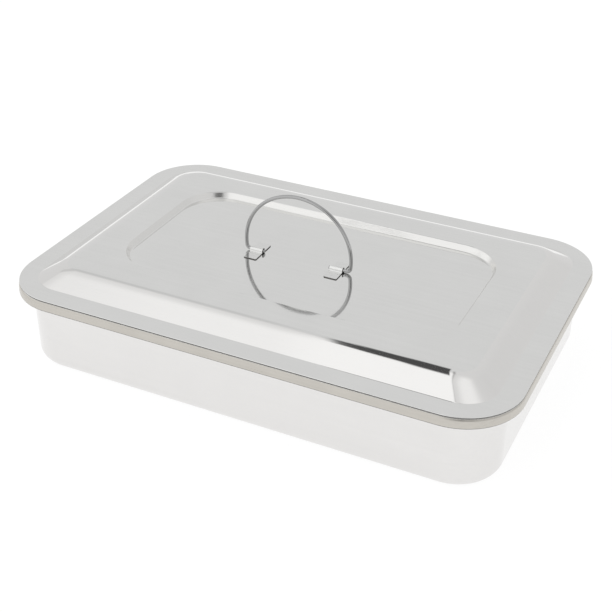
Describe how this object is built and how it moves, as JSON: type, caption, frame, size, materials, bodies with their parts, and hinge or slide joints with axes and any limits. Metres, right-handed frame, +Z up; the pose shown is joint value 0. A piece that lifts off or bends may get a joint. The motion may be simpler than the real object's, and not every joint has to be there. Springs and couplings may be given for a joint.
{
  "type": "instrument tray",
  "caption": "Covered stainless steel instrument tray: a rounded rectangular pan with a lift-off lid, and a folding wire bail held under straps on the lid.",
  "frame": {"origin": "on the underside of the pan, below the centre of the rim", "axes": "+Z up; +X along the long side, to the right as seen from the front; +Y to the back"},
  "size_m": [0.3058, 0.2028, 0.0991],
  "materials": {
    "pan_steel": "polished stainless steel, deep drawn",
    "lid_steel": "fine brushed stainless steel with a polished slope",
    "wire_steel": "bright drawn stainless wire",
    "strap_steel": "bright stainless strip"
  },
  "bodies": {
    "tray": {"tray_body": "pan_steel"},
    "lid": {"lid": "lid_steel", "handle_clip_left": "strap_steel", "handle_clip_right": "strap_steel"},
    "bail": {"bail_handle": "wire_steel"}
  },
  "joints": [
    {"name": "lid_lift", "type": "slide", "parent": "tray", "child": "lid", "axis": [0, 0, 1], "range_m": [0, 0.08]},
    {"name": "bail_fold", "type": "hinge", "parent": "lid", "child": "bail", "pos_m": [0, -0.0027, 0.05775], "axis": [1, 0, 0], "range_deg": [-90, 90]}
  ]
}
